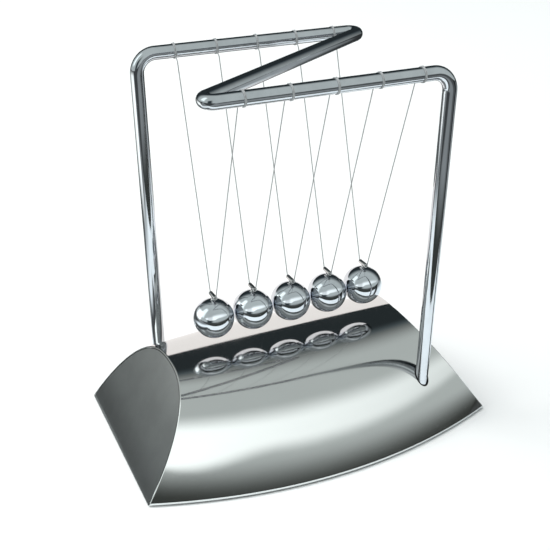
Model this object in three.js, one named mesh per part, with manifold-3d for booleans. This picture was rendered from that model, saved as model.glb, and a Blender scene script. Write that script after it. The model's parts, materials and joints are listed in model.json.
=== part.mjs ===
// A newton's cradle: five steel balls on nylon lines under one bent Z-shaped rod, on a polished vaulted base.
// Millimetres, +Z up. The origin is on the table under the middle of the base; +X runs along the row of balls
// and -Y is the front.
import * as THREE from 'three';
import { mergeVertices } from 'three/addons/utils/BufferGeometryUtils.js';
import Module from 'manifold-3d';

const GAP = 0.3; // clearance between separate pieces

// Balls and their hangers
const BALL_COUNT = 5;
const BALL_RADIUS = 9.5;
const BALL_PITCH = 19.6;
const BALL_HEIGHT = 58.75; // centre above the table
const ROW_SHIFT = 1.6; // the row hangs this far towards +X
const HANGER_HEIGHT = 70.3; // axis of the little cross tube on each ball
const HANGER_LENGTH = 6;
const HANGER_RADIUS = 1.05;
const HANGER_BORE_RADIUS = 0.55;
const STEM_RADIUS = 0.8;
const STEM_SINK = 2.5; // depth of the stem in the ball

// The nylon lines
const LINE_RADIUS = 0.22;
const LINE_BEND = 0.9; // bend radius where a line turns into its hanger
const PIVOT_HEIGHT = 170; // where a line leaves its winding on the rail and swings
const WINDING_WIDTH = 1.5;
const WINDING_THICKNESS = 0.5;

// The bent rod: back post, back rail, diagonal, front rail, front post
const ROD_RADIUS = 3.05;
const RAIL_HEIGHT = 173.5;
const RAIL_Y = 39.1; // the rails run at plus and minus this
const POST_X = 54.95; // post axes at rail height
const FOOT_X = 52.9; // post axes at the table
const POST_BEND = 8.5; // centreline radius of the bends on the posts
const HAIRPIN_BEND = 3.4; // centreline radius of the two tight turns
const HAIRPIN_CORNER_X = 59.4; // where the rail and diagonal axes would cross

// The base
const BASE_HALF_LENGTH = 88;
const END_LEAN = 0.68; // the end faces lean in by this much for each unit of height
const CREST_HEIGHT = 41.5;
const MID_HALF_WIDTH = 61.7;
const END_HALF_WIDTH = 45.2;
const VAULT_POWER = 2.5; // section: height falls off as the half-width fraction to this power
const COVER_EDGE = 0.6; // lower edge of the cover above the table
const LIP_HEIGHT = 1.2;
const COVER_WALL = 0.8;
const END_PLATE = 2;

// Inside the base, from the table up
const FOOT_PAD_HEIGHT = 2;
const FOOT_PAD_RADIUS = 6.5;
const FLOOR_BOTTOM = 2.3;
const FLOOR_TOP = 3.5;
const WEIGHT_BOTTOM = 9;
const WEIGHT_TOP = 14;
const WEIGHT_HALF_LENGTH = 62;
const FLOOR_HALF_LENGTH = 79;
const PLATE_CLEARANCE = 1; // between a plate's edge and the cover
const FOOT_PAD_X = 66;
const FOOT_PAD_Y = 34;
const SPACER_RADIUS = 3.5;
const WASHER_RADIUS = 5;
const WASHER_THICKNESS = 0.8;
const POST_TAP_DEPTH = 9; // tapped hole in the lower end of each post
const FLOOR_SCREW_X = 58;
const FLOOR_SCREW_Y = 22;
const FLOOR_SCREW = { shankRadius: 1.5, headRadius: 2.8, headHeight: 1.2, length: 10.5 };
const POST_SCREW = { shankRadius: 2, headRadius: 3.8, headHeight: 2.6, length: 13 };

const manifold = await Module();
manifold.setup();

const finish = (color, roughness, metalness) => new THREE.MeshStandardMaterial({ color, roughness, metalness });
const chrome = finish(0xc9ced3, 0.06, 1);
const polishedSteel = finish(0xb9bfc4, 0.1, 1);
const satinSteel = finish(0x8b9294, 0.4, 1);
const zinc = finish(0x9a9c9a, 0.45, 1);
const nylon = finish(0xd6dcdf, 0.35, 0);
const rubber = finish(0x1c1c1e, 0.85, 0);
const castIron = finish(0x3b3d40, 0.7, 0.8);

// ---- solids ----

const ROUND_SIDES = 16; // facets round a small hole, ring or screw
const ROD_SIDES = 12; // facets round the bent rod

const circlePoints = (radius, sides) =>
  Array.from({ length: sides }, (_, i) => {
    const angle = (2 * Math.PI * i) / sides;
    return new THREE.Vector2(radius * Math.cos(angle), radius * Math.sin(angle));
  });

// A lathe turned about +Z; profile points are [radius, height] from the bottom up.
function turned(profile, segments) {
  const points = profile.map(([r, z]) => new THREE.Vector2(r, z));
  return new THREE.LatheGeometry(points, segments).rotateX(Math.PI / 2);
}

// A flat plate with round holes, its underside at z = bottom; holes are [x, y, radius].
function plate(outline, holes, bottom, top) {
  const shape = new THREE.Shape(outline);
  for (const [x, y, radius] of holes) {
    const centre = new THREE.Vector2(x, y);
    shape.holes.push(new THREE.Path(circlePoints(radius, ROUND_SIDES).map((p) => p.add(centre))));
  }
  const geometry = new THREE.ExtrudeGeometry(shape, { depth: top - bottom, bevelEnabled: false, steps: 1 });
  return geometry.translate(0, 0, bottom);
}

// A washer, sleeve or ring of rectangular section about +Z.
const ring = (innerRadius, outerRadius, bottom, top) =>
  plate(circlePoints(outerRadius, ROUND_SIDES), [[0, 0, innerRadius]], bottom, top);

function toManifold(geometry) {
  const bare = geometry.clone();
  bare.deleteAttribute('normal');
  bare.deleteAttribute('uv');
  const merged = mergeVertices(bare, 1e-4);
  const triVerts = new Uint32Array(merged.index.array);
  const vertProperties = new Float32Array(merged.attributes.position.array);
  return new manifold.Manifold(new manifold.Mesh({ numProp: 3, vertProperties, triVerts }));
}

function fromManifold(solid) {
  const mesh = solid.getMesh();
  const geometry = new THREE.BufferGeometry();
  geometry.setAttribute('position', new THREE.BufferAttribute(new Float32Array(mesh.vertProperties), 3));
  geometry.setIndex(new THREE.BufferAttribute(new Uint32Array(mesh.triVerts), 1));
  geometry.computeVertexNormals();
  return geometry;
}

const cut = (geometry, tools) =>
  fromManifold(tools.reduce((solid, tool) => solid.subtract(toManifold(tool)), toManifold(geometry)));

// Straight runs joined by round bends. ExtrudeGeometry takes one step for each straight run
// and bendSteps for each bend.
class BentPath extends THREE.Curve {
  constructor(corners, bendRadii, bendSteps) {
    super();
    this.sections = [];
    let start = corners[0];
    for (let i = 1; i < corners.length - 1; i += 1) {
      const bend = BentPath.bend(corners[i - 1], corners[i], corners[i + 1], bendRadii[i - 1]);
      this.sections.push({ steps: 1, ...BentPath.straight(start, bend.start) });
      this.sections.push({ steps: bendSteps, ...bend });
      start = bend.end;
    }
    this.sections.push({ steps: 1, ...BentPath.straight(start, corners.at(-1)) });
    this.steps = this.sections.reduce((sum, section) => sum + section.steps, 0);
  }

  static straight(from, to) {
    const direction = to.clone().sub(from).normalize();
    return { point: (s) => from.clone().lerp(to, s), tangent: () => direction.clone() };
  }

  static bend(before, corner, after, radius) {
    const back = before.clone().sub(corner).normalize();
    const ahead = after.clone().sub(corner).normalize();
    const turn = Math.PI - back.angleTo(ahead);
    const reach = radius * Math.tan(turn / 2);
    const start = corner.clone().addScaledVector(back, reach);
    const end = corner.clone().addScaledVector(ahead, reach);
    const bisector = back.clone().add(ahead).normalize();
    const centre = corner.clone().addScaledVector(bisector, radius / Math.cos(turn / 2));
    const out = start.clone().sub(centre).normalize();
    const along = back.clone().negate();
    return {
      start,
      end,
      point: (s) => centre.clone()
        .addScaledVector(out, radius * Math.cos(s * turn))
        .addScaledVector(along, radius * Math.sin(s * turn)),
      tangent: (s) => along.clone()
        .multiplyScalar(Math.cos(s * turn))
        .addScaledVector(out, -Math.sin(s * turn)),
    };
  }

  locate(t) {
    let position = Math.min(Math.max(t, 0), 1) * this.steps;
    for (const section of this.sections) {
      if (position <= section.steps + 1e-9) return [section, Math.min(position / section.steps, 1)];
      position -= section.steps;
    }
    return [this.sections.at(-1), 1];
  }

  getPoint(t, target = new THREE.Vector3()) {
    const [section, s] = this.locate(t);
    return target.copy(section.point(s));
  }

  getTangent(t, target = new THREE.Vector3()) {
    const [section, s] = this.locate(t);
    return target.copy(section.tangent(s)).normalize();
  }

  getTangentAt(u, target) {
    return this.getTangent(u, target);
  }

  getSpacedPoints(divisions) {
    return this.getPoints(divisions);
  }
}

// A round bar along a bent path.
function roundBar(path, radius, sides) {
  const section = new THREE.Shape(circlePoints(radius, sides));
  return new THREE.ExtrudeGeometry(section, { extrudePath: path, steps: path.steps, bevelEnabled: false });
}

// ---- the vaulted base ----

const halfWidth = (x) =>
  END_HALF_WIDTH + (MID_HALF_WIDTH - END_HALF_WIDTH) * (1 - (x / BASE_HALF_LENGTH) ** 2);

// A point of the vault: s runs from -1 to 1 along the base, v from -1 to 1 across it.
// inset moves the surface inwards, for the cover's inner face.
function vaultPoint(s, v, inset = 0) {
  const rise = CREST_HEIGHT - COVER_EDGE - LIP_HEIGHT - inset;
  const z = COVER_EDGE + LIP_HEIGHT + rise * (1 - Math.abs(v) ** VAULT_POWER);
  const x = s * (BASE_HALF_LENGTH - END_LEAN * z);
  return new THREE.Vector3(x, v * (halfWidth(x) - inset), z);
}

// Fractions across the vault, closer together where the section curves most, with the upright lip at both ends.
function vaultFractions(count) {
  return Array.from({ length: count + 1 }, (_, i) => Math.sin((Math.PI / 2) * ((2 * i) / count - 1)));
}

// One row of the cover across the base: lip, vault, lip.
function coverRow(s, fractions, inset) {
  const row = fractions.map((v) => vaultPoint(s, v, inset));
  const lip = (v) => {
    const x = s * (BASE_HALF_LENGTH - END_LEAN * COVER_EDGE);
    return new THREE.Vector3(x, v * (halfWidth(x) - inset), COVER_EDGE);
  };
  return [lip(-1), ...row, lip(1)];
}

// The cover is a bent sheet: an outer and an inner grid joined round their edges.
function coverSheet() {
  const alongCount = 20;
  const fractions = vaultFractions(20);
  const stations = Array.from({ length: alongCount + 1 }, (_, i) => (2 * i) / alongCount - 1);
  const loops = stations.map((s) => [
    ...coverRow(s, fractions, 0),
    ...coverRow(s, fractions, COVER_WALL).reverse(),
  ]);
  const loopSize = loops[0].length;
  const rowSize = loopSize / 2;
  const index = [];
  const quad = (a, b, c, d) => index.push(a, b, c, a, c, d);
  for (let i = 0; i < alongCount; i += 1) {
    for (let j = 0; j < loopSize; j += 1) {
      const next = (j + 1) % loopSize;
      quad(i * loopSize + j, (i + 1) * loopSize + j, (i + 1) * loopSize + next, i * loopSize + next);
    }
  }
  const last = alongCount * loopSize;
  for (let j = 0; j < rowSize - 1; j += 1) {
    const inner = loopSize - 1 - j;
    quad(j, j + 1, inner - 1, inner);
    quad(last + inner, last + inner - 1, last + j + 1, last + j);
  }
  const geometry = new THREE.BufferGeometry();
  const positions = loops.flat().flatMap((p) => [p.x, p.y, p.z]);
  geometry.setAttribute('position', new THREE.Float32BufferAttribute(positions, 3));
  geometry.setIndex(index);
  geometry.computeVertexNormals();
  return geometry;
}

// side is -1 for the back-left post and 1 for the front-right post
const postFoot = (side) => new THREE.Vector3(side * FOOT_X, -side * RAIL_Y, 0);
const postTop = (side) => new THREE.Vector3(side * POST_X, -side * RAIL_Y, RAIL_HEIGHT);
const postAt = (side, z) => postFoot(side).lerp(postTop(side), z / RAIL_HEIGHT);

function makeCover() {
  const holes = [-1, 1].map((side) => {
    const path = new THREE.LineCurve3(postAt(side, CREST_HEIGHT + 5), postAt(side, FLOOR_TOP));
    const section = new THREE.Shape(circlePoints(ROD_RADIUS + GAP, 2 * ROD_SIDES));
    return new THREE.ExtrudeGeometry(section, { extrudePath: path, steps: 1, bevelEnabled: false });
  });
  return cut(coverSheet(), holes);
}

// The satin plate that closes one end, inside the cover and flush with its edge.
function makeEndPlate(side) {
  const lean = Math.atan(END_LEAN);
  const inset = COVER_WALL + GAP;
  const outline = vaultFractions(24).map((v) => {
    const p = vaultPoint(1, v, inset);
    return new THREE.Vector2(p.y, p.z / Math.cos(lean));
  });
  const reach = halfWidth(BASE_HALF_LENGTH) - inset;
  outline.unshift(new THREE.Vector2(-reach, 0));
  outline.push(new THREE.Vector2(reach, 0));
  const geometry = new THREE.ExtrudeGeometry(new THREE.Shape(outline), {
    depth: END_PLATE, bevelEnabled: false, steps: 1,
  });
  // put the outer face at zero, stand the plate up across X, lean it in and push it out to the end plane
  geometry.translate(0, 0, -END_PLATE);
  geometry.rotateX(Math.PI / 2).rotateZ(Math.PI / 2);
  geometry.rotateY(-lean);
  geometry.translate(BASE_HALF_LENGTH, 0, 0);
  if (side < 0) geometry.rotateZ(Math.PI);
  const depth = 4 * END_PLATE;
  const belowEdge = new THREE.BoxGeometry(3 * BASE_HALF_LENGTH, 3 * BASE_HALF_LENGTH, depth)
    .translate(0, 0, COVER_EDGE - depth / 2);
  return cut(geometry, [belowEdge]);
}

// The outline of a flat plate that fits inside the cover up to a given height.
function barrelOutline(length, height) {
  const count = 12;
  const rise = CREST_HEIGHT - COVER_WALL - COVER_EDGE - LIP_HEIGHT;
  const fraction = (1 - Math.max(height - COVER_EDGE - LIP_HEIGHT, 0) / rise) ** (1 / VAULT_POWER);
  const edge = Array.from({ length: count + 1 }, (_, i) => {
    const x = length * ((2 * i) / count - 1);
    return new THREE.Vector2(x, (halfWidth(x) - COVER_WALL) * fraction - PLATE_CLEARANCE);
  });
  return [...edge.map((p) => new THREE.Vector2(p.x, -p.y)), ...edge.reverse()];
}

const corners = [[-1, -1], [1, -1], [1, 1], [-1, 1]];
const floorScrews = corners.map(([sx, sy]) => [sx * FLOOR_SCREW_X, sy * FLOOR_SCREW_Y]);
const floorScrewHoles = floorScrews.map(([x, y]) => [x, y, FLOOR_SCREW.shankRadius + GAP]);
const footPads = corners.map(([sx, sy]) => [sx * FOOT_PAD_X, sy * FOOT_PAD_Y]);
const postBolts = [-1, 1].map((side) => postAt(side, (WEIGHT_BOTTOM + WEIGHT_TOP) / 2));

function makeWeight() {
  const holes = [
    ...postBolts.map((p) => [p.x, p.y, POST_SCREW.shankRadius + GAP]),
    ...floorScrewHoles,
  ];
  return plate(barrelOutline(WEIGHT_HALF_LENGTH, WEIGHT_TOP), holes, WEIGHT_BOTTOM, WEIGHT_TOP);
}

const makeFloor = () =>
  plate(barrelOutline(FLOOR_HALF_LENGTH, FLOOR_TOP), floorScrewHoles, FLOOR_BOTTOM, FLOOR_TOP);

// A pan-head screw pointing up, the flat of its head at z = 0 with the shank above it.
function screw({ shankRadius, headRadius, headHeight, length }) {
  return turned([
    [0, -headHeight],
    [headRadius * 0.6, -headHeight],
    [headRadius, -headHeight * 0.5],
    [headRadius, 0],
    [shankRadius, 0],
    [shankRadius, length],
    [0, length],
  ], ROUND_SIDES);
}

function makeFootPad() {
  const chamfer = 0.5;
  return turned([
    [0, 0],
    [FOOT_PAD_RADIUS - chamfer, 0],
    [FOOT_PAD_RADIUS, chamfer],
    [FOOT_PAD_RADIUS, FOOT_PAD_HEIGHT],
    [0, FOOT_PAD_HEIGHT],
  ], 20);
}

// ---- the rod ----

function makeRod() {
  const railEnd = (side) => new THREE.Vector3(-side * HAIRPIN_CORNER_X, -side * RAIL_Y, RAIL_HEIGHT);
  const path = new BentPath(
    [
      postAt(-1, WEIGHT_TOP + GAP),
      postTop(-1),
      railEnd(-1),
      railEnd(1),
      postTop(1),
      postAt(1, WEIGHT_TOP + GAP),
    ],
    [POST_BEND, HAIRPIN_BEND, HAIRPIN_BEND, POST_BEND],
    10,
  );
  const tapRadius = POST_SCREW.shankRadius + GAP;
  const tapped = postBolts.map((p) =>
    new THREE.CylinderGeometry(tapRadius, tapRadius, 2 * POST_TAP_DEPTH, ROD_SIDES)
      .rotateX(Math.PI / 2).translate(p.x, p.y, WEIGHT_TOP));
  return cut(roundBar(path, ROD_RADIUS, ROD_SIDES), tapped);
}

// ---- balls, hangers, lines ----

function makeBall() {
  const rings = 12;
  const holeRadius = STEM_RADIUS + GAP;
  const holeAngle = Math.asin(holeRadius / BALL_RADIUS);
  const profile = Array.from({ length: rings + 1 }, (_, i) => {
    const angle = -Math.PI / 2 + (i / rings) * (Math.PI - holeAngle);
    return [i === 0 ? 0 : BALL_RADIUS * Math.cos(angle), BALL_RADIUS * Math.sin(angle)];
  });
  const holeBottom = BALL_RADIUS - STEM_SINK - GAP;
  profile.push([holeRadius, holeBottom], [0, holeBottom]);
  return turned(profile, 20);
}

// A cross tube along Y on a short stem; its origin is the ball's centre.
function makeHanger() {
  const height = HANGER_HEIGHT - BALL_HEIGHT;
  const stemBottom = BALL_RADIUS - STEM_SINK;
  const stem = new THREE.CylinderGeometry(STEM_RADIUS, STEM_RADIUS, height - stemBottom, 12)
    .rotateX(Math.PI / 2).translate(0, 0, (height + stemBottom) / 2);
  const along = (geometry) => geometry.translate(0, 0, height);
  const tube = along(new THREE.CylinderGeometry(HANGER_RADIUS, HANGER_RADIUS, HANGER_LENGTH, 16));
  const bore = along(new THREE.CylinderGeometry(HANGER_BORE_RADIUS, HANGER_BORE_RADIUS, HANGER_LENGTH + 2, 12));
  return fromManifold(toManifold(tube).add(toManifold(stem)).subtract(toManifold(bore)));
}

// The line from rail to rail through the hanger, tangent to the rod above its ends.
function makeLine() {
  const mouth = HANGER_LENGTH / 2 + LINE_BEND * 0.5;
  const run = RAIL_Y - mouth;
  const rise = RAIL_HEIGHT - HANGER_HEIGHT;
  const span = Math.hypot(run, rise);
  const slope = Math.atan2(rise, run) + Math.asin((ROD_RADIUS + LINE_RADIUS) / span);
  const topY = mouth + (PIVOT_HEIGHT - HANGER_HEIGHT) / Math.tan(slope);
  const point = (y, z) => new THREE.Vector3(0, y, z - BALL_HEIGHT);
  const path = new BentPath(
    [
      point(-topY, PIVOT_HEIGHT),
      point(-mouth, HANGER_HEIGHT),
      point(mouth, HANGER_HEIGHT),
      point(topY, PIVOT_HEIGHT),
    ],
    [LINE_BEND, LINE_BEND],
    4,
  );
  return roundBar(path, LINE_RADIUS, 8);
}

const makeWinding = () => {
  const inner = ROD_RADIUS + GAP;
  return ring(inner, inner + WINDING_THICKNESS, -WINDING_WIDTH / 2, WINDING_WIDTH / 2).rotateY(Math.PI / 2);
};

// ---- assembly ----

const cradle = new THREE.Group();

function place(name, geometry, material, x = 0, y = 0, z = 0, parent = cradle) {
  const mesh = new THREE.Mesh(geometry, material);
  mesh.name = name;
  mesh.position.set(x, y, z);
  parent.add(mesh);
  return mesh;
}

function addBase() {
  place('base_cover', makeCover(), polishedSteel);
  place('left_end_plate', makeEndPlate(-1), satinSteel);
  place('right_end_plate', makeEndPlate(1), satinSteel);
  place('base_weight', makeWeight(), castIron);
  place('floor_plate', makeFloor(), zinc);
  footPads.forEach(([x, y], i) => place(`rubber_foot_${i + 1}`, makeFootPad(), rubber, x, y));
  const spacerBore = FLOOR_SCREW.shankRadius + GAP;
  floorScrews.forEach(([x, y], i) => {
    const spacer = ring(spacerBore, SPACER_RADIUS, FLOOR_TOP + GAP, WEIGHT_BOTTOM - GAP);
    place(`spacer_${i + 1}`, spacer, zinc, x, y);
    place(`floor_screw_${i + 1}`, screw(FLOOR_SCREW), zinc, x, y, FLOOR_BOTTOM - GAP);
  });
}

function addRod() {
  place('z_rod', makeRod(), chrome);
  const washerTop = WEIGHT_BOTTOM - GAP;
  const washerBottom = washerTop - WASHER_THICKNESS;
  const washerBore = POST_SCREW.shankRadius + GAP;
  postBolts.forEach((p, i) => {
    const end = i === 0 ? 'back' : 'front';
    place(`${end}_post_washer`, ring(washerBore, WASHER_RADIUS, washerBottom, washerTop), zinc, p.x, p.y);
    place(`${end}_post_screw`, screw(POST_SCREW), zinc, p.x, p.y, washerBottom - GAP);
  });
}

function addPendulum(i) {
  const x = ROW_SHIFT + (i - (BALL_COUNT - 1) / 2) * BALL_PITCH;
  const pendulum = new THREE.Group();
  pendulum.position.set(x, 0, BALL_HEIGHT);
  cradle.add(pendulum);
  place(`ball_${i + 1}`, makeBall(), chrome, 0, 0, 0, pendulum);
  place(`hanger_${i + 1}`, makeHanger(), chrome, 0, 0, 0, pendulum);
  place(`line_${i + 1}`, makeLine(), nylon, 0, 0, 0, pendulum);
  place(`front_winding_${i + 1}`, makeWinding(), nylon, x, -RAIL_Y, RAIL_HEIGHT);
  place(`back_winding_${i + 1}`, makeWinding(), nylon, x, RAIL_Y, RAIL_HEIGHT);
}

addBase();
addRod();
for (let i = 0; i < BALL_COUNT; i += 1) addPendulum(i);

export default cradle;
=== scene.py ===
"""A newton's cradle: smooth chrome, polished sheet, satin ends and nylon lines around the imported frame.

Metres, +Z up, origin on the table under the middle of the base, -Y towards the front.
"""
import json
import math

import bmesh
import bpy
from mathutils import Matrix, Vector


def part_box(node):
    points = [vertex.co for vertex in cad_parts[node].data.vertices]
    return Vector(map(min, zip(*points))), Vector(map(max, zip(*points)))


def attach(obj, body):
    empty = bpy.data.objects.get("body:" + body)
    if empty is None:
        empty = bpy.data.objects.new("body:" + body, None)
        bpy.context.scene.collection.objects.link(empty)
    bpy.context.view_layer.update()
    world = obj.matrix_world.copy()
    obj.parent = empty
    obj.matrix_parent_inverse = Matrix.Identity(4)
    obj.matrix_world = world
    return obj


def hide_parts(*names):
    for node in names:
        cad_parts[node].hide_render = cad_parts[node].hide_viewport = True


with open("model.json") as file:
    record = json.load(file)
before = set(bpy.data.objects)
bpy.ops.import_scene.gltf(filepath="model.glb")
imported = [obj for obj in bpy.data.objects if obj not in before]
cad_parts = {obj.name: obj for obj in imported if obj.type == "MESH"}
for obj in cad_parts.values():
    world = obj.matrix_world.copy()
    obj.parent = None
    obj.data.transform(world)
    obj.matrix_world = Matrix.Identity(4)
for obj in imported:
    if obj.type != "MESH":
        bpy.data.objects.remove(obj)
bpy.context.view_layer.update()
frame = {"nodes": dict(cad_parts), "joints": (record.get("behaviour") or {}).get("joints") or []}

MM = 0.001
WHITE = (1, 1, 1)
BALLS = range(1, 6)

# ---------------------------------------------------------------- sizes shared with the CAD model

ROD_RADIUS = 3.05 * MM
POST_X = 54.95 * MM  # post axes at rail height
FOOT_X = 52.9 * MM  # post axes at the table
POST_BOTTOM = 14.3 * MM
POST_BEND = 8.5 * MM  # centreline radius of the bends on the posts
HAIRPIN_BEND = 3.4 * MM  # centreline radius of the two tight turns
HAIRPIN_CORNER_X = 59.4 * MM  # where the rail and diagonal axes would cross

HALF_LENGTH = 88 * MM
END_LEAN = 0.68  # the end faces lean in by this much for each unit of height
END_HALF_WIDTH = 45.2 * MM
VAULT_POWER = 2.5  # height falls off as the half-width fraction to this power
LIP_HEIGHT = 1.2 * MM
COVER_WALL = 0.8 * MM
END_PLATE = 2 * MM
GAP = 0.3 * MM  # clearance between separate pieces

BALL_RADIUS = 9.5 * MM
HANGER_HEIGHT = 70.3 * MM
HANGER_LENGTH = 6 * MM
HANGER_RADIUS = 1.05 * MM
HANGER_BORE = 0.55 * MM
STEM_RADIUS = 0.8 * MM
LINE_RADIUS = 0.22 * MM
LINE_BEND = 0.9 * MM

# ---------------------------------------------------------------- places read from the frame


def box_centre(node):
    low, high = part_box(node)
    return (Vector(low) + Vector(high)) / 2


RAIL_Y = -box_centre("front_winding_3").y
RAIL_HEIGHT = box_centre("front_winding_3").z
COVER_LOW, COVER_HIGH = (Vector(corner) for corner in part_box("base_cover"))
EDGE_HEIGHT = COVER_LOW.z
CREST_HEIGHT = COVER_HIGH.z
MID_HALF_WIDTH = COVER_HIGH.y
PIVOT_HEIGHT = frame["joints"][0]["pos_m"][2]  # where a line leaves its winding and swings
BALL_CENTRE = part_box("ball_1")[0][2] + BALL_RADIUS

# ---------------------------------------------------------------- camera

CAMERA_PLACE = Vector((-166.35, -349.81, 275.07)) * MM
CAMERA_PITCH = math.radians(27.58)
CAMERA_AZIMUTH = math.radians(-24.56)
CAMERA_LENS = 60.8  # on a sensor 36 wide, both in millimetres
CAMERA_SENSOR = 36
BACK_WAY = (-math.sin(CAMERA_AZIMUTH), math.cos(CAMERA_AZIMUTH))  # level, straight away from the camera


def add_object(name, data):
    obj = bpy.data.objects.new(name, data)
    bpy.context.collection.objects.link(obj)
    return obj


def make_camera():
    data = bpy.data.cameras.new("camera")
    data.sensor_width = CAMERA_SENSOR
    data.lens = CAMERA_LENS
    data.clip_start = 10 * MM
    camera = add_object("camera", data)
    camera.location = CAMERA_PLACE
    camera.rotation_euler = (math.pi / 2 - CAMERA_PITCH, 0, CAMERA_AZIMUTH)
    bpy.context.scene.camera = camera


# ---------------------------------------------------------------- mesh helpers


def new_object(name, bm, smooth=True):
    bmesh.ops.recalc_face_normals(bm, faces=bm.faces)
    mesh = bpy.data.meshes.new(name)
    bm.to_mesh(mesh)
    bm.free()
    for polygon in mesh.polygons:
        polygon.use_smooth = smooth
    return add_object(name, mesh)


def add_rings(bm, rings, closed_ends=True):
    """Skins a list of closed rings of points; a one-point ring is a pole."""
    rows = [[bm.verts.new(p) for p in ring] for ring in rings]
    for low, high in zip(rows, rows[1:]):
        count = max(len(low), len(high))
        for i in range(count):
            j = (i + 1) % count
            if len(low) == 1:
                bm.faces.new((low[0], high[j], high[i]))
            elif len(high) == 1:
                bm.faces.new((low[i], low[j], high[0]))
            else:
                bm.faces.new((low[i], low[j], high[j], high[i]))
    if closed_ends:
        for row in (rows[0], rows[-1]):
            if len(row) > 2:
                bm.faces.new(row)


def circle(radius, sides, z=0.0):
    steps = (2 * math.pi * i / sides for i in range(sides))
    return [Vector((radius * math.cos(a), radius * math.sin(a), z)) for a in steps]


def add_lathe(bm, profile, sides, place=Matrix.Identity(4)):
    """Turns a profile of (radius, height) about Z; radius 0 is a pole."""
    rings = []
    for radius, z in profile:
        ring = [Vector((0, 0, z))] if radius == 0 else circle(radius, sides, z)
        rings.append([place @ p for p in ring])
    add_rings(bm, rings, closed_ends=False)


def arc(centre, radius, start, end, steps):
    """Points of a round profile stretch, in (radius, height); angles in degrees from +radius."""
    points = []
    for i in range(steps + 1):
        angle = math.radians(start + (end - start) * i / steps)
        points.append((centre[0] + radius * math.cos(angle), centre[1] + radius * math.sin(angle)))
    return points


def bent_path(corners, radii, bend_steps, straight_steps=1):
    """Straight runs joined by round bends, as a list of points."""
    points = [corners[0]]
    for before, corner, after, radius in zip(corners, corners[1:], corners[2:], radii):
        back = (before - corner).normalized()
        ahead = (after - corner).normalized()
        turn = math.pi - back.angle(ahead)
        start = corner + back * radius * math.tan(turn / 2)
        centre = corner + (back + ahead).normalized() * radius / math.cos(turn / 2)
        out = (start - centre).normalized()
        last = points[-1]
        points += [last.lerp(start, i / straight_steps) for i in range(1, straight_steps)]
        for i in range(bend_steps + 1):
            angle = turn * i / bend_steps
            points.append(centre + radius * (out * math.cos(angle) - back * math.sin(angle)))
    last = points[-1]
    points += [last.lerp(corners[-1], i / straight_steps) for i in range(1, straight_steps)]
    points.append(corners[-1])
    return points


def add_tube(bm, points, radius, sides, end_round=0.0):
    """A round bar along points; end_round rounds both ends over by that much."""
    tangents = [(b - a).normalized() for a, b in zip(points, points[1:])]
    between = [(a + b).normalized() for a, b in zip(tangents, tangents[1:])]
    tangents = [tangents[0]] + between + [tangents[-1]]
    side = tangents[0].orthogonal().normalized()
    rings = []
    radii = [radius] * len(points)
    if end_round:
        radii[0] = radii[-1] = radius - end_round
    for point, tangent, ring_radius in zip(points, tangents, radii):
        side = (side - tangent * side.dot(tangent)).normalized()
        up = tangent.cross(side)
        steps = (2 * math.pi * i / sides for i in range(sides))
        rings.append([point + ring_radius * (side * math.cos(a) + up * math.sin(a)) for a in steps])
    add_rings(bm, rings)


def soften_shading(obj, degrees):
    """Keeps corners sharper than this crisp while the round faces stay smooth."""
    mesh = obj.data
    bm = bmesh.new()
    bm.from_mesh(mesh)
    for edge in bm.edges:
        edge.smooth = len(edge.link_faces) == 2 and edge.calc_face_angle(0) < math.radians(degrees)
    bm.to_mesh(mesh)
    bm.free()


def own(obj, body, material, node):
    """Hands a finished piece to its body and the CAD node it stands for."""
    obj.data.materials.append(material)
    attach(obj, body)
    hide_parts(node)


# ---------------------------------------------------------------- materials


class Nodes:
    """A short way to build a node tree.

    Inputs are named with _ for a space, or numbered as _0, _1 and so on.
    """

    def __init__(self, tree):
        self.tree = tree
        self.tree.nodes.clear()

    def add(self, kind, settings=None, **inputs):
        node = self.tree.nodes.new(kind)
        for key, value in (settings or {}).items():
            setattr(node, key, value)
        for key, value in inputs.items():
            socket = node.inputs[int(key[1:])] if key[0] == "_" else node.inputs[key.replace("_", " ")]
            if isinstance(value, bpy.types.NodeSocket):
                self.tree.links.new(value, socket)
            else:
                socket.default_value = value
        return node

    def math(self, operation, *values):
        return self.add("ShaderNodeMath", {"operation": operation},
                        **{f"_{i}": v for i, v in enumerate(values)}).outputs[0]

    def ramp(self, value, low, high, to_low=0.0, to_high=1.0):
        """Eases from to_low at low to to_high at high."""
        return self.add("ShaderNodeMapRange", {"interpolation_type": "SMOOTHSTEP"}, Value=value,
                        From_Min=low, From_Max=high, To_Min=to_low, To_Max=to_high).outputs[0]

    def mix(self, factor, a, b):
        node = self.add("ShaderNodeMix", {"data_type": "RGBA"})
        for index, value in ((0, factor), (6, a), (7, b)):
            if isinstance(value, bpy.types.NodeSocket):
                self.tree.links.new(value, node.inputs[index])
            else:
                node.inputs[index].default_value = value
        return node.outputs[2]

    def noise(self, vector, scale, detail=2.0, roughness=0.5):
        return self.add("ShaderNodeTexNoise", Vector=vector, Scale=scale, Detail=detail,
                        Roughness=roughness).outputs[0]

    def product(self, *values):
        total = values[0]
        for value in values[1:]:
            total = self.math("MULTIPLY", total, value)
        return total

    def inverse(self, value):
        return self.math("SUBTRACT", 1.0, value)

    def split(self, vector):
        return self.add("ShaderNodeSeparateXYZ", Vector=vector).outputs[:3]

    def stretched(self, vector, scale):
        return self.add("ShaderNodeMapping", Vector=vector, Scale=scale).outputs[0]

    def emission(self, colour, strength):
        return self.add("ShaderNodeEmission", Color=(*colour, 1), Strength=strength).outputs[0]

    def clear(self):
        return self.add("ShaderNodeBsdfTransparent").outputs[0]


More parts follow.
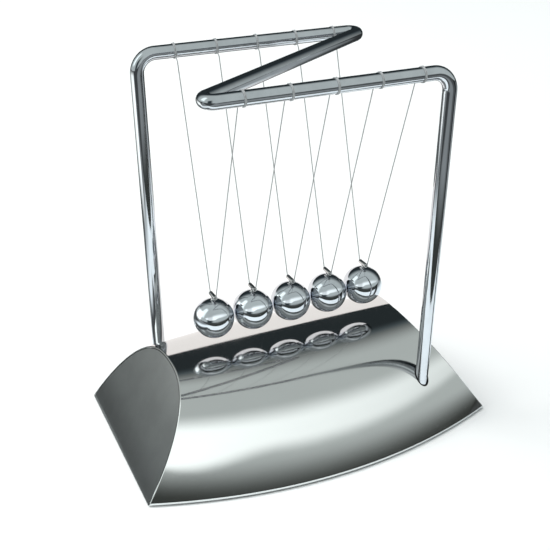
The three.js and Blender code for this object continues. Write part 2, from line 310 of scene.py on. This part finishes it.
def start_material(name, metallic):
    material = bpy.data.materials.new(name)
    material.use_nodes = True
    nodes = Nodes(material.node_tree)
    shader = nodes.add("ShaderNodeBsdfPrincipled", Metallic=metallic)
    output = nodes.add("ShaderNodeOutputMaterial")
    material.node_tree.links.new(shader.outputs[0], output.inputs[0])
    place = nodes.add("ShaderNodeTexCoord").outputs["Object"]
    return material, nodes, shader, place


def feed(nodes, shader, **inputs):
    for key, value in inputs.items():
        nodes.tree.links.new(value, shader.inputs[key.replace("_", " ")])


def bump(nodes, height, distance):
    return nodes.add("ShaderNodeBump", Height=height, Distance=distance, Strength=1.0).outputs[0]


def grey(level, tint=WHITE):
    return (level * tint[0], level * tint[1], level * tint[2], 1)


def mirror_metal(name, dark, light, rough_low, rough_high, wave=0.0, tint=WHITE):
    """Polished plating: faint smears in the gloss, fine pits and a slow wave in the surface."""
    material, nodes, shader, place = start_material(name, 1.0)
    smear = nodes.noise(nodes.stretched(place, (90, 90, 40)), scale=1.0, detail=4.0, roughness=0.6)
    pits = nodes.noise(place, scale=2600.0, detail=1.0)
    colour = nodes.mix(nodes.ramp(smear, 0.35, 0.7), grey(dark, tint), grey(light, tint))
    spots = nodes.ramp(pits, 0.68, 0.8, 0.0, 0.12)
    rough = nodes.math("ADD", nodes.ramp(smear, 0.4, 0.75, rough_low, rough_high), spots)
    feed(nodes, shader, Base_Color=colour, Roughness=rough)
    height = nodes.math("MULTIPLY", pits, 0.02)
    if wave:
        slow = nodes.noise(place, scale=55.0, detail=1.0)
        height = nodes.math("ADD", height, nodes.math("MULTIPLY", slow, wave))
    feed(nodes, shader, Normal=bump(nodes, height, 0.05 * MM))
    return material


def post_gap_shade(nodes, place):
    """1 in a thin ring round each post where it enters the cover, 0 elsewhere: the mask of a painted shade
    for the gap round the rod.
    """
    lean = 0.3 * MM  # how far the posts have leaned out at the cover's height
    inner, outer = ROD_RADIUS + 0.35 * MM, ROD_RADIUS + 0.55 * MM
    x, y, _ = nodes.split(place)
    rings = []
    for side in (-1, 1):
        across = nodes.math("SUBTRACT", x, side * (FOOT_X + lean))
        deep = nodes.math("ADD", y, side * RAIL_Y)
        square = nodes.math("ADD", nodes.product(across, across), nodes.product(deep, deep))
        rings.append(nodes.ramp(nodes.math("SQRT", square), inner, outer, 1.0, 0.0))
    return nodes.math("MAXIMUM", *rings)


def cover_metal():
    """Mirror-polished sheet with hairlines along its length and a painted dark ring round each post, the
    shade of the gap where the rod goes through.
    """
    material, nodes, shader, place = start_material("polished_sheet", 1.0)
    tint = (1, 1, 0.99)
    hairline = nodes.noise(nodes.stretched(place, (30, 2600, 2600)), scale=1.0, detail=3.0, roughness=0.7)
    haze = nodes.noise(nodes.stretched(place, (22, 40, 40)), scale=1.0, detail=3.0, roughness=0.55)
    # painted shade: a near-black ring round each post where it passes through the sheet
    gap_shade = post_gap_shade(nodes, place)
    polish = nodes.mix(haze, grey(0.76, tint), grey(0.84, tint))
    rough = nodes.ramp(haze, 0.35, 0.7, 0.05, 0.10)
    rough = nodes.math("ADD", rough, nodes.ramp(hairline, 0.55, 0.8, 0.0, 0.08))
    rough = nodes.math("MAXIMUM", rough, nodes.math("MULTIPLY", gap_shade, 0.7))
    height = nodes.math("ADD", nodes.math("MULTIPLY", hairline, 0.02), nodes.math("MULTIPLY", haze, 0.5))
    feed(nodes, shader, Base_Color=nodes.mix(gap_shade, polish, grey(0.03)), Roughness=rough,
         Normal=bump(nodes, height, 0.06 * MM))
    return material


def satin_metal():
    """The end plates: fine upright brushing, a little cloudiness, and painted shade that darkens them towards
    the table.
    """
    material, nodes, shader, place = start_material("satin_steel", 1.0)
    tint = (0.98, 1, 1)
    shade_height = 20 * MM
    brush = nodes.noise(nodes.stretched(place, (900, 2400, 60)), scale=1.0, detail=4.0, roughness=0.7)
    cloud = nodes.noise(place, scale=45.0, detail=3.0, roughness=0.6)
    colour = nodes.mix(nodes.ramp(cloud, 0.3, 0.7), grey(0.37, tint), grey(0.42, tint))
    colour = nodes.mix(nodes.ramp(brush, 0.3, 0.8, 0.0, 0.3), colour, grey(0.5))
    # painted shade: the colour is darkened towards black near the table
    painted_shade = nodes.ramp(nodes.split(place)[2], 0.0, shade_height, 0.5, 0.1)
    feed(nodes, shader, Base_Color=nodes.mix(painted_shade, colour, grey(0.0)),
         Roughness=nodes.ramp(brush, 0.2, 0.8, 0.30, 0.42), Normal=bump(nodes, brush, 0.02 * MM))
    return material


def nylon(name, dark, light):
    """Clear-grey line with a fine grain in its colour and gloss."""
    material, nodes, shader, place = start_material(name, 0.0)
    tint = (0.97, 1, 1.02)
    grain = nodes.noise(place, scale=1500.0, detail=2.0)
    feed(nodes, shader, Base_Color=nodes.mix(grain, grey(dark, tint), grey(light, tint)),
         Roughness=nodes.ramp(grain, 0.3, 0.7, 0.2, 0.35))
    return material


def plain_finish(name, level, rough, tint=WHITE, scale=350.0, depth=0.05 * MM, metallic=1.0):
    """Hidden and underside pieces: castings, plated sheet, screws and rubber feet."""
    material, nodes, shader, place = start_material(name, metallic)
    grain = nodes.noise(place, scale, detail=5.0, roughness=0.65)
    contrast = nodes.ramp(grain, 0.3, 0.7)
    feed(nodes, shader, Base_Color=nodes.mix(contrast, grey(level * 0.8, tint), grey(level * 1.1, tint)),
         Roughness=nodes.ramp(grain, 0.3, 0.7, rough - 0.08, rough + 0.08), Normal=bump(nodes, grain, depth))
    return material


# ---------------------------------------------------------------- the base


def crowded(count):
    """Fractions from -1 to 1, closer together towards both ends."""
    return [math.sin(math.pi / 2 * (2 * i / count - 1)) for i in range(count + 1)]


def half_width(x):
    """The plan edges bow outwards."""
    return END_HALF_WIDTH + (MID_HALF_WIDTH - END_HALF_WIDTH) * (1 - (x / HALF_LENGTH) ** 2)


def vault_point(s, v, inset=0.0, end_inset=0.0):
    """s runs along the base and v across it, both from -1 to 1."""
    foot = EDGE_HEIGHT + LIP_HEIGHT
    z = foot + (CREST_HEIGHT - foot - inset) * (1 - abs(v) ** VAULT_POWER)
    x = s * (HALF_LENGTH - END_LEAN * z - end_inset)
    return Vector((x, v * (half_width(x) - inset), z))


def lip_point(s, side, z, inset, end_inset):
    x = s * (HALF_LENGTH - END_LEAN * z - end_inset)
    return Vector((x, side * (half_width(x) - inset), z))


def cover_loop(s, fractions, skin, end_inset):
    """One closed section of the sheet. skin insets the outer face, for the small chamfer at the ends."""
    soften = 0.25 * MM
    outer = [lip_point(s, -1, EDGE_HEIGHT, soften + skin, end_inset),
             lip_point(s, -1, EDGE_HEIGHT + soften, skin, end_inset)]
    outer += [vault_point(s, v, skin, end_inset) for v in fractions]
    outer += [lip_point(s, 1, EDGE_HEIGHT + soften, skin, end_inset),
              lip_point(s, 1, EDGE_HEIGHT, soften + skin, end_inset)]
    wall = COVER_WALL - skin
    inner = [lip_point(s, 1, EDGE_HEIGHT, wall, end_inset)]
    inner += [vault_point(s, v, wall, end_inset) for v in reversed(fractions)]
    inner += [lip_point(s, -1, EDGE_HEIGHT, wall, end_inset)]
    return outer + inner


def make_cover(material):
    """The bent sheet, with a small chamfer on the outer corner at both ends."""
    across = 120
    along = 96
    chamfer = 0.2 * MM
    fractions = crowded(across)
    loops = [cover_loop(-1, fractions, chamfer, 0)]
    loops += [cover_loop(2 * i / along - 1, fractions, 0, chamfer) for i in range(along + 1)]
    loops.append(cover_loop(1, fractions, chamfer, 0))
    bm = bmesh.new()
    add_rings(bm, loops, closed_ends=False)
    bm.verts.ensure_lookup_table()
    size = len(loops[0])
    outer_count = len(fractions) + 4
    for base in (0, len(bm.verts) - size):
        close_sheet_end(bm, bm.verts[base:base + size], outer_count)
    cover = new_object("polished_cover", bm)
    soften_shading(cover, degrees=12)
    own(cover, "frame", material, "base_cover")


def close_sheet_end(bm, ring, outer_count):
    """Fills the sheet's cut edge between its outer and inner faces."""
    outer = ring[:outer_count]
    inner = ring[outer_count:][::-1]
    last_outer, last_inner = len(outer) - 1, len(inner) - 1
    i = j = 0
    while i < last_outer or j < last_inner:
        outer_is_behind = j == last_inner or i / last_outer <= j / last_inner
        if i < last_outer and outer_is_behind:
            bm.faces.new((outer[i], outer[i + 1], inner[j]))
            i += 1
        else:
            bm.faces.new((outer[i], inner[j + 1], inner[j]))
            j += 1


def make_end_plate(side, name, node, material):
    """A flat plate inside the cover's end, its rim softly broken."""
    inset = COVER_WALL + GAP * 0.5
    recess = 0.1 * MM
    rim_round = 0.25 * MM
    points = [lip_point(1, -1, EDGE_HEIGHT, inset, 0)]
    points += [vault_point(1, v, inset) for v in crowded(160)]
    points += [lip_point(1, 1, EDGE_HEIGHT, inset, 0)]
    normal = Vector((1, 0, END_LEAN)).normalized()
    front = [p - normal * recess for p in points]
    if side < 0:
        half_turn = Matrix.Rotation(math.pi, 3, "Z")
        front = [half_turn @ p for p in front]
        normal = half_turn @ normal
    bm = bmesh.new()
    face = bm.faces.new([bm.verts.new(p) for p in front])
    grown = bmesh.ops.extrude_face_region(bm, geom=[face])["geom"]
    moved = [g for g in grown if isinstance(g, bmesh.types.BMVert)]
    for vert in moved:
        vert.co -= normal * (END_PLATE - recess)
        vert.co.z = max(vert.co.z, EDGE_HEIGHT)
    bm.faces.ensure_lookup_table()
    rim = [e for e in bm.edges if all(v not in moved for v in e.verts)]
    bmesh.ops.bevel(bm, geom=rim, offset=rim_round, segments=3, profile=0.5, affect="EDGES")
    plate = new_object(name, bm)
    soften_shading(plate, degrees=25)
    own(plate, "frame", material, node)


# ---------------------------------------------------------------- the rod


def post_point(side, z):
    """side is -1 for the back-left post and 1 for the front-right one."""
    x = FOOT_X + (POST_X - FOOT_X) * z / RAIL_HEIGHT
    return Vector((side * x, -side * RAIL_Y, z))


def make_rod(material):
    """One bar from foot to foot, through the post bends and the two tight turns."""
    def turn(side):
        return Vector((-side * HAIRPIN_CORNER_X, -side * RAIL_Y, RAIL_HEIGHT))

    corners = [post_point(-1, POST_BOTTOM), post_point(-1, RAIL_HEIGHT), turn(-1), turn(1),
               post_point(1, RAIL_HEIGHT), post_point(1, POST_BOTTOM)]
    points = bent_path(corners, [POST_BEND, HAIRPIN_BEND, HAIRPIN_BEND, POST_BEND],
                       bend_steps=28, straight_steps=12)
    bm = bmesh.new()
    add_tube(bm, points, ROD_RADIUS, sides=56, end_round=0.3 * MM)
    rod = new_object("bent_rod", bm)
    soften_shading(rod, degrees=40)
    own(rod, "frame", material, "z_rod")


# ---------------------------------------------------------------- balls, hangers, lines


def make_ball(i, material):
    """A smooth sphere with a shallow socket on top for the hanger's stem."""
    centre = box_centre(f"ball_{i}")
    centre.z = BALL_CENTRE
    mouth = STEM_RADIUS + 0.25 * MM
    socket = STEM_RADIUS + 0.05 * MM
    chamfer = 0.2 * MM
    depth = 2 * MM
    top = math.degrees(math.acos(mouth / BALL_RADIUS))
    seat = BALL_RADIUS * math.sin(math.radians(top))
    profile = [(0, -BALL_RADIUS)] + arc((0, 0), BALL_RADIUS, -89, top, steps=90)
    profile += [(socket, seat - chamfer), (socket, seat - depth), (0, seat - depth)]
    bm = bmesh.new()
    add_lathe(bm, profile, sides=128, place=Matrix.Translation(centre))
    ball = new_object(f"chrome_ball_{i}", bm)
    soften_shading(ball, degrees=30)
    own(ball, f"pendulum_{i}", material, f"ball_{i}")


def make_hanger(i, material):
    """A short cross tube with rounded lips on a stem with a low collar where it meets the ball."""
    x = box_centre(f"ball_{i}").x
    half = HANGER_LENGTH / 2
    lip = 0.2 * MM
    outer, inner = HANGER_RADIUS - lip, HANGER_BORE + lip
    low, high = lip - half, half - lip
    corners = ((outer, low, -90), (outer, high, 0), (inner, high, 90), (inner, low, 180))
    profile = [p for radius, z, start in corners for p in arc((radius, z), lip, start, start + 90, steps=4)]
    bm = bmesh.new()
    lie = Matrix.Translation((x, 0, HANGER_HEIGHT)) @ Matrix.Rotation(-math.pi / 2, 4, "X")
    add_lathe(bm, profile + profile[:1], sides=40, place=lie)

    foot = BALL_RADIUS - 1.5 * MM
    rest = BALL_RADIUS - 0.05 * MM
    top = HANGER_HEIGHT - BALL_CENTRE - HANGER_BORE
    collar = STEM_RADIUS * 1.25
    neck = STEM_RADIUS * 0.95
    stem = [(0, foot), (STEM_RADIUS, foot), (STEM_RADIUS, rest), (collar, rest + 0.1 * MM),
            (collar, rest + 0.4 * MM), (neck, rest + 0.7 * MM), (neck, top), (0, top)]
    add_lathe(bm, stem, sides=32, place=Matrix.Translation((x, 0, BALL_CENTRE)))
    bmesh.ops.remove_doubles(bm, verts=bm.verts, dist=MM / 1000)
    hanger = new_object(f"cross_tube_{i}", bm)
    soften_shading(hanger, degrees=35)
    own(hanger, f"pendulum_{i}", material, f"hanger_{i}")


def line_slope():
    """The lean of a line that touches the rod and enters its hanger, and where it enters."""
    mouth = HANGER_LENGTH / 2 + LINE_BEND * 0.5
    run = RAIL_Y - mouth
    rise = RAIL_HEIGHT - HANGER_HEIGHT
    slope = math.atan2(rise, run) + math.asin((ROD_RADIUS + LINE_RADIUS) / math.hypot(run, rise))
    return mouth, slope


def line_y(z):
    """How far from the middle a line is at this height."""
    mouth, slope = line_slope()
    return mouth + (z - HANGER_HEIGHT) / math.tan(slope)


def make_line(i, material):
    """From winding to winding through the hanger, with a small bend at each mouth of the tube."""
    x = box_centre(f"ball_{i}").x
    mouth, _ = line_slope()
    top = line_y(PIVOT_HEIGHT)
    corners = [Vector((x, -top, PIVOT_HEIGHT)), Vector((x, -mouth, HANGER_HEIGHT)),
               Vector((x, mouth, HANGER_HEIGHT)), Vector((x, top, PIVOT_HEIGHT))]
    bm = bmesh.new()
    path = bent_path(corners, [LINE_BEND, LINE_BEND], bend_steps=10, straight_steps=6)
    add_tube(bm, path, LINE_RADIUS, sides=12)
    line = new_object(f"nylon_line_{i}", bm)
    soften_shading(line, degrees=40)
    own(line, f"pendulum_{i}", material, f"line_{i}")


def make_winding(i, side, name, node, material):
    """Two close turns round the rail, a small knot on top and the tail that meets the swinging line."""
    x = box_centre(f"ball_{i}").x
    around = ROD_RADIUS + LINE_RADIUS * 0.9
    pitch = 2 * LINE_RADIUS * 1.05
    turns = 2
    steps = 36  # in each turn
    tail_steps = 6
    knot_radius = 0.3 * MM
    _, slope = line_slope()
    leave = slope - math.pi / 2  # angle on the rod where the line leaves it, measured towards the middle
    points = []
    for k in range(turns * steps + 1):
        angle = leave + 2 * math.pi * (k / steps)
        shift = pitch * (k / steps - turns / 2)
        points.append(Vector((x + shift, side * (RAIL_Y - around * math.cos(angle)),
                              RAIL_HEIGHT + around * math.sin(angle))))
    first = points[0]
    tail_end = Vector((x, side * line_y(PIVOT_HEIGHT), PIVOT_HEIGHT))
    tail = [tail_end.lerp(first, k / tail_steps) for k in range(tail_steps)]
    bm = bmesh.new()
    add_tube(bm, tail + points, LINE_RADIUS, sides=10)
    knot = [(0, -knot_radius)] + arc((0, 0), knot_radius, -75, 75, steps=6) + [(0, knot_radius)]
    seat = Matrix.Translation((x, side * RAIL_Y, RAIL_HEIGHT + around + LINE_RADIUS * 0.4))
    lie = Matrix.Rotation(math.pi / 2, 4, "Y")
    stretch = Matrix.Diagonal((1, 1.2, 1.8, 1))
    add_lathe(bm, knot, sides=16, place=seat @ lie @ stretch)
    winding = new_object(name, bm)
    soften_shading(winding, degrees=50)
    own(winding, "frame", material, node)


# ---------------------------------------------------------------- carried-over CAD nodes


def finish_node(name, material):
    mesh = frame["nodes"][name].data
    mesh.materials.clear()
    mesh.materials.append(material)


def finish_hidden_nodes():
    iron = plain_finish("raw_iron", 0.16, 0.6, scale=420.0)
    sheet = plain_finish("zinc_sheet", 0.5, 0.42, tint=(1, 1, 0.97), scale=160.0, depth=0.02 * MM)
    bright = plain_finish("zinc_bright", 0.62, 0.3, tint=(1, 0.99, 0.95), scale=700.0, depth=0.02 * MM)
    pad = plain_finish("black_rubber", 0.03, 0.8, scale=900.0, depth=0.1 * MM, metallic=0.0)
    finish_node("base_weight", iron)
    finish_node("floor_plate", sheet)
    for i in range(1, 5):
        finish_node(f"rubber_foot_{i}", pad)
        finish_node(f"spacer_{i}", bright)
        finish_node(f"floor_screw_{i}", bright)
    for end in ("back", "front"):
        finish_node(f"{end}_post_washer", bright)
        finish_node(f"{end}_post_screw", bright)


# ---------------------------------------------------------------- studio


def later_bounces(nodes):
    """1 for what a mirror shows directly, less for what is reflected in a reflection."""
    return nodes.ramp(nodes.add("ShaderNodeLightPath").outputs["Glossy Depth"], 1.0, 2.0, 1.0, 0.45)


def lit_patch(nodes, x, y):
    """How bright the table is in a reflection: full round the base, fading further out."""
    front = nodes.ramp(y, -0.185, -0.15, 0.25, 1.0)
    back = nodes.ramp(y, 0.04, 0.14, 1.0, 0.1)
    left = nodes.ramp(x, -0.30, -0.16, 0.2, 1.0)
    right = nodes.ramp(x, 0.15, 0.34, 1.0, 0.35)
    shade = 0.94

    # a narrow shade that widens away from the base's front right corner
    corner_x, corner_y = 0.088, -0.045
    ahead = nodes.math("SUBTRACT", x, corner_x)
    aside = nodes.math("ADD", nodes.math("SUBTRACT", y, corner_y), nodes.math("MULTIPLY", ahead, 0.52))
    spread = nodes.math("SUBTRACT", nodes.math("ABSOLUTE", aside), nodes.math("MULTIPLY", ahead, 0.2))
    corner = nodes.product(nodes.ramp(x, 0.0885, 0.0905), nodes.ramp(spread, 0.006, 0.016, 1.0, 0.0), shade)

    # a soft shade on the table beside the left end plate
    beside = nodes.product(nodes.ramp(x, -0.16, -0.125), nodes.ramp(x, -0.096, -0.088, 1.0, 0.0),
                           nodes.ramp(y, -0.075, -0.05), nodes.ramp(y, 0.07, 0.12, 1.0, 0.0), shade)
    return nodes.product(front, back, left, right, later_bounces(nodes),
                         nodes.inverse(corner), nodes.inverse(beside))


def make_floor():
    """A white table top; in reflections it falls away into the dark beyond the lit patch round the base."""
    bm = bmesh.new()
    add_rings(bm, [circle(radius, 64) for radius in (0.001, 0.4, 1.2, 4.0, 12.0)], closed_ends=False)
    floor = new_object("floor", bm, smooth=False)
    floor.location.z = -0.2 * MM
    material, nodes, shader, place = start_material("pale_floor", 0.0)
    shader.inputs["Roughness"].default_value = 0.9
    shader.inputs["Specular IOR Level"].default_value = 0.1
    cloud = nodes.noise(place, scale=1.5, detail=1.0)
    white = nodes.mix(cloud, grey(0.90, (0.99, 1, 1)), grey(0.92))
    x, y, _ = nodes.split(place)
    reflected = nodes.mix(lit_patch(nodes, x, y), grey(0.0), grey(0.91, (0.95, 1, 1.02)))
    glossy = nodes.add("ShaderNodeLightPath").outputs["Is Glossy Ray"]
    feed(nodes, shader, Base_Color=nodes.mix(glossy, white, reflected))
    floor.data.materials.append(material)


def make_card(name, corners, build):
    """A studio card seen only in reflections. build returns its shader from (nodes, x, y, z)."""
    bm = bmesh.new()
    bm.faces.new([bm.verts.new(corner) for corner in corners])
    mesh = bpy.data.meshes.new(name)
    bm.to_mesh(mesh)
    bm.free()
    card = add_object(name, mesh)
    material = bpy.data.materials.new(name)
    material.use_nodes = True
    nodes = Nodes(material.node_tree)
    place = nodes.add("ShaderNodeTexCoord").outputs["Object"]
    nodes.add("ShaderNodeOutputMaterial", Surface=build(nodes, *nodes.split(place)))
    card.data.materials.append(material)
    card.visible_camera = card.visible_diffuse = card.visible_shadow = False


def make_reflector():
    """White, low behind the base: the pale strip along the back of the crest."""
    left, right, y, top = -0.06, 0.125, 0.072, 0.0795
    corners = [(left, y, 0), (right, y, 0), (right, y, top), (left, y, top)]

    def shader(nodes, x, y, z):
        return nodes.emission((1.0, 0.97, 0.95), 0.95)

    make_card("reflector", corners, shader)


def make_flag():
    """Black, low in front, with a soft humped top: the dark foot of the vault's front."""
    left, right, y, top = -0.30, 0.42, -0.165, 0.12
    middle = 0.03
    corners = [(left, y, 0), (right, y, 0), (right, y, top), (left, y, top)]

    def shader(nodes, x, y, z):
        off = nodes.math("SUBTRACT", x, middle)
        drop = nodes.product(off, off, 0.5)
        cover = nodes.ramp(nodes.math("ADD", z, drop), 0.034, 0.090, 1.0, 0.0)
        black = nodes.emission((0.9, 1.0, 0.93), 0.05)
        return nodes.add("ShaderNodeMixShader", _0=cover, _1=nodes.clear(), _2=black).outputs[0]

    make_card("flag", corners, shader)


def make_soft_box():
    """A long soft box in front, under rail height, glowing downwards: the white band across the base."""
    left, right, front, back, z = -0.40, 0.60, -0.44, -0.07, 0.16
    corners = [(left, front, z), (left, back, z), (right, back, z), (right, front, z)]

    def shader(nodes, x, y, z):
        near = nodes.ramp(y, -0.160, -0.090, 1.0, 0.0)
        reach = nodes.math("ADD", y, nodes.ramp(x, -0.16, 0.02, 0.13, 0.0))
        far = nodes.ramp(reach, -0.285, -0.205)
        level = nodes.ramp(x, -0.2, 0.45, 0.85, 0.3)
        underside = nodes.inverse(nodes.add("ShaderNodeNewGeometry").outputs["Backfacing"])
        strength = nodes.product(near, far, level, underside, later_bounces(nodes))
        glow = nodes.emission((0.95, 1.0, 0.995), strength)
        return nodes.add("ShaderNodeAddShader", _0=glow, _1=nodes.clear()).outputs[0]

    make_card("soft_box", corners, shader)


def make_side_card():
    """A grey glow low on the left, stronger towards the front. It lights the end plate and hides nothing."""
    x, back, top = -0.17, 0.30, 0.17
    corners = [(x, 0, 0), (x, 0, top), (x, back, top), (x, back, 0)]

    def shader(nodes, x, y, z):
        level = nodes.product(nodes.ramp(y, 0.08, 0.20, 1.35, 0.45), nodes.ramp(z, 0.03, 0.08),
                              nodes.ramp(z, 0.12, 0.17, 1.0, 0.0), nodes.ramp(y, 0.0, 0.03))
        glow = nodes.emission((0.96, 1.0, 0.97), level)
        return nodes.add("ShaderNodeAddShader", _0=glow, _1=nodes.clear()).outputs[0]

    make_card("side_card", corners, shader)


def front_wall(nodes, x, y, z):
    """The grey room in front, with a dark upright figure left of the camera."""
    ahead = nodes.math("MAXIMUM", nodes.math("MULTIPLY", y, -1.0), 0.02)
    across = nodes.math("DIVIDE", x, ahead)
    up = nodes.math("DIVIDE", z, ahead)
    figure = nodes.product(nodes.ramp(across, -1.9, -1.2), nodes.ramp(across, -0.75, -0.3, 1.0, 0.0),
                           nodes.ramp(up, 0.65, 1.1, 1.0, 0.0), nodes.ramp(y, -0.3, -0.1, 1.0, 0.0))
    return nodes.inverse(nodes.math("MULTIPLY", figure, 0.9))


def strip_light(nodes, x, y, z):
    """A tall strip light on the left."""
    ahead = nodes.math("MAXIMUM", nodes.math("MULTIPLY", x, -1.0), 0.02)
    across = nodes.math("DIVIDE", y, ahead)
    up = nodes.math("DIVIDE", z, ahead)
    return nodes.product(nodes.ramp(across, -0.25, 0.0), nodes.ramp(across, 0.25, 0.6, 1.0, 0.0),
                         nodes.ramp(up, 0.15, 0.4), nodes.ramp(up, 1.3, 2.2, 1.0, 0.0), 0.8)


def make_world():
    """The rest of the studio as the metal sees it: grey in front and overhead, fading to black behind, with
    a dark figure and a strip light on the left. The camera sees plain white."""
    grey_level, black_level = 0.52, 0.028
    dim_tint, bright_tint = (0.76, 1.0, 1.1, 1), (0.91, 1.0, 0.985, 1)
    world = bpy.data.worlds.new("studio")
    bpy.context.scene.world = world
    world.use_nodes = True
    nodes = Nodes(world.node_tree)
    x, y, z = nodes.split(nodes.add("ShaderNodeTexCoord").outputs["Generated"])
    behind = nodes.math("ADD", nodes.math("MULTIPLY", x, BACK_WAY[0]), nodes.math("MULTIPLY", y, BACK_WAY[1]))
    fade = nodes.ramp(behind, 0.22, 0.70, grey_level, black_level)
    level = nodes.math("ADD", nodes.product(front_wall(nodes, x, y, z), fade), strip_light(nodes, x, y, z))
    colour = nodes.mix(nodes.ramp(level, 0.03, 0.2), dim_tint, bright_tint)
    strength = nodes.product(level, later_bounces(nodes))
    studio = nodes.add("ShaderNodeBackground", Color=colour, Strength=strength).outputs[0]
    seen = nodes.add("ShaderNodeBackground", Color=(0.985, 0.99, 0.995, 1), Strength=1.0).outputs[0]
    to_camera = nodes.add("ShaderNodeLightPath").outputs["Is Camera Ray"]
    pick = nodes.add("ShaderNodeMixShader", _0=to_camera, _1=studio, _2=seen).outputs[0]
    nodes.add("ShaderNodeOutputWorld", Surface=pick)


def make_lights():
    """A soft key from the back left and a wide fill from above. Neither shows in the metal."""
    key = bpy.data.lights.new("key_left", "AREA")
    key.shape = "RECTANGLE"
    key.size = key.size_y = 0.9
    key.energy = 20
    key.color = (1, 0.99, 0.97)
    light = add_object("key_left", key)
    light.location = (-1.3, 0.8, 1.5)
    aim = Vector((0, 0, 0.05)) - light.location
    light.rotation_euler = aim.to_track_quat("-Z", "Y").to_euler()
    light.visible_glossy = False

    sun = bpy.data.lights.new("fill_top", "SUN")
    sun.energy = 1.65
    sun.color = (0.985, 0.985, 1.0)
    sun.angle = math.radians(60)
    fill = add_object("fill_top", sun)
    fill.rotation_euler = (math.radians(-8), math.radians(-12), 0)
    fill.visible_glossy = False


def make_studio():
    bpy.context.scene.view_settings.view_transform = "Standard"
    make_floor()
    make_reflector()
    make_flag()
    make_soft_box()
    make_side_card()
    make_world()
    make_lights()


# ---------------------------------------------------------------- assembly

make_camera()
make_studio()

cover_polish = cover_metal()
satin = satin_metal()
rod_chrome = mirror_metal("rod_chrome", 0.74, 0.82, 0.03, 0.09, tint=(0.97, 1, 1.05), wave=0.6)
ball_chrome = mirror_metal("ball_chrome", 0.78, 0.86, 0.02, 0.05, tint=(0.96, 1, 1.06))
small_chrome = mirror_metal("small_chrome", 0.6, 0.72, 0.08, 0.18)
line_nylon = nylon("nylon", 0.28, 0.38)
# The turns use the same nylon as the lines, painted lighter: painted light for the brighter look of the
# coiled turns.
wound_nylon_painted_lighter = nylon("nylon_wound_painted_lighter", 0.38, 0.48)

make_cover(cover_polish)
make_end_plate(-1, "satin_left_plate", "left_end_plate", satin)
make_end_plate(1, "satin_right_plate", "right_end_plate", satin)
make_rod(rod_chrome)
for number in BALLS:
    make_ball(number, ball_chrome)
    make_hanger(number, small_chrome)
    make_line(number, line_nylon)
    make_winding(number, -1, f"front_turns_{number}", f"front_winding_{number}", wound_nylon_painted_lighter)
    make_winding(number, 1, f"back_turns_{number}", f"back_winding_{number}", wound_nylon_painted_lighter)
finish_hidden_nodes()
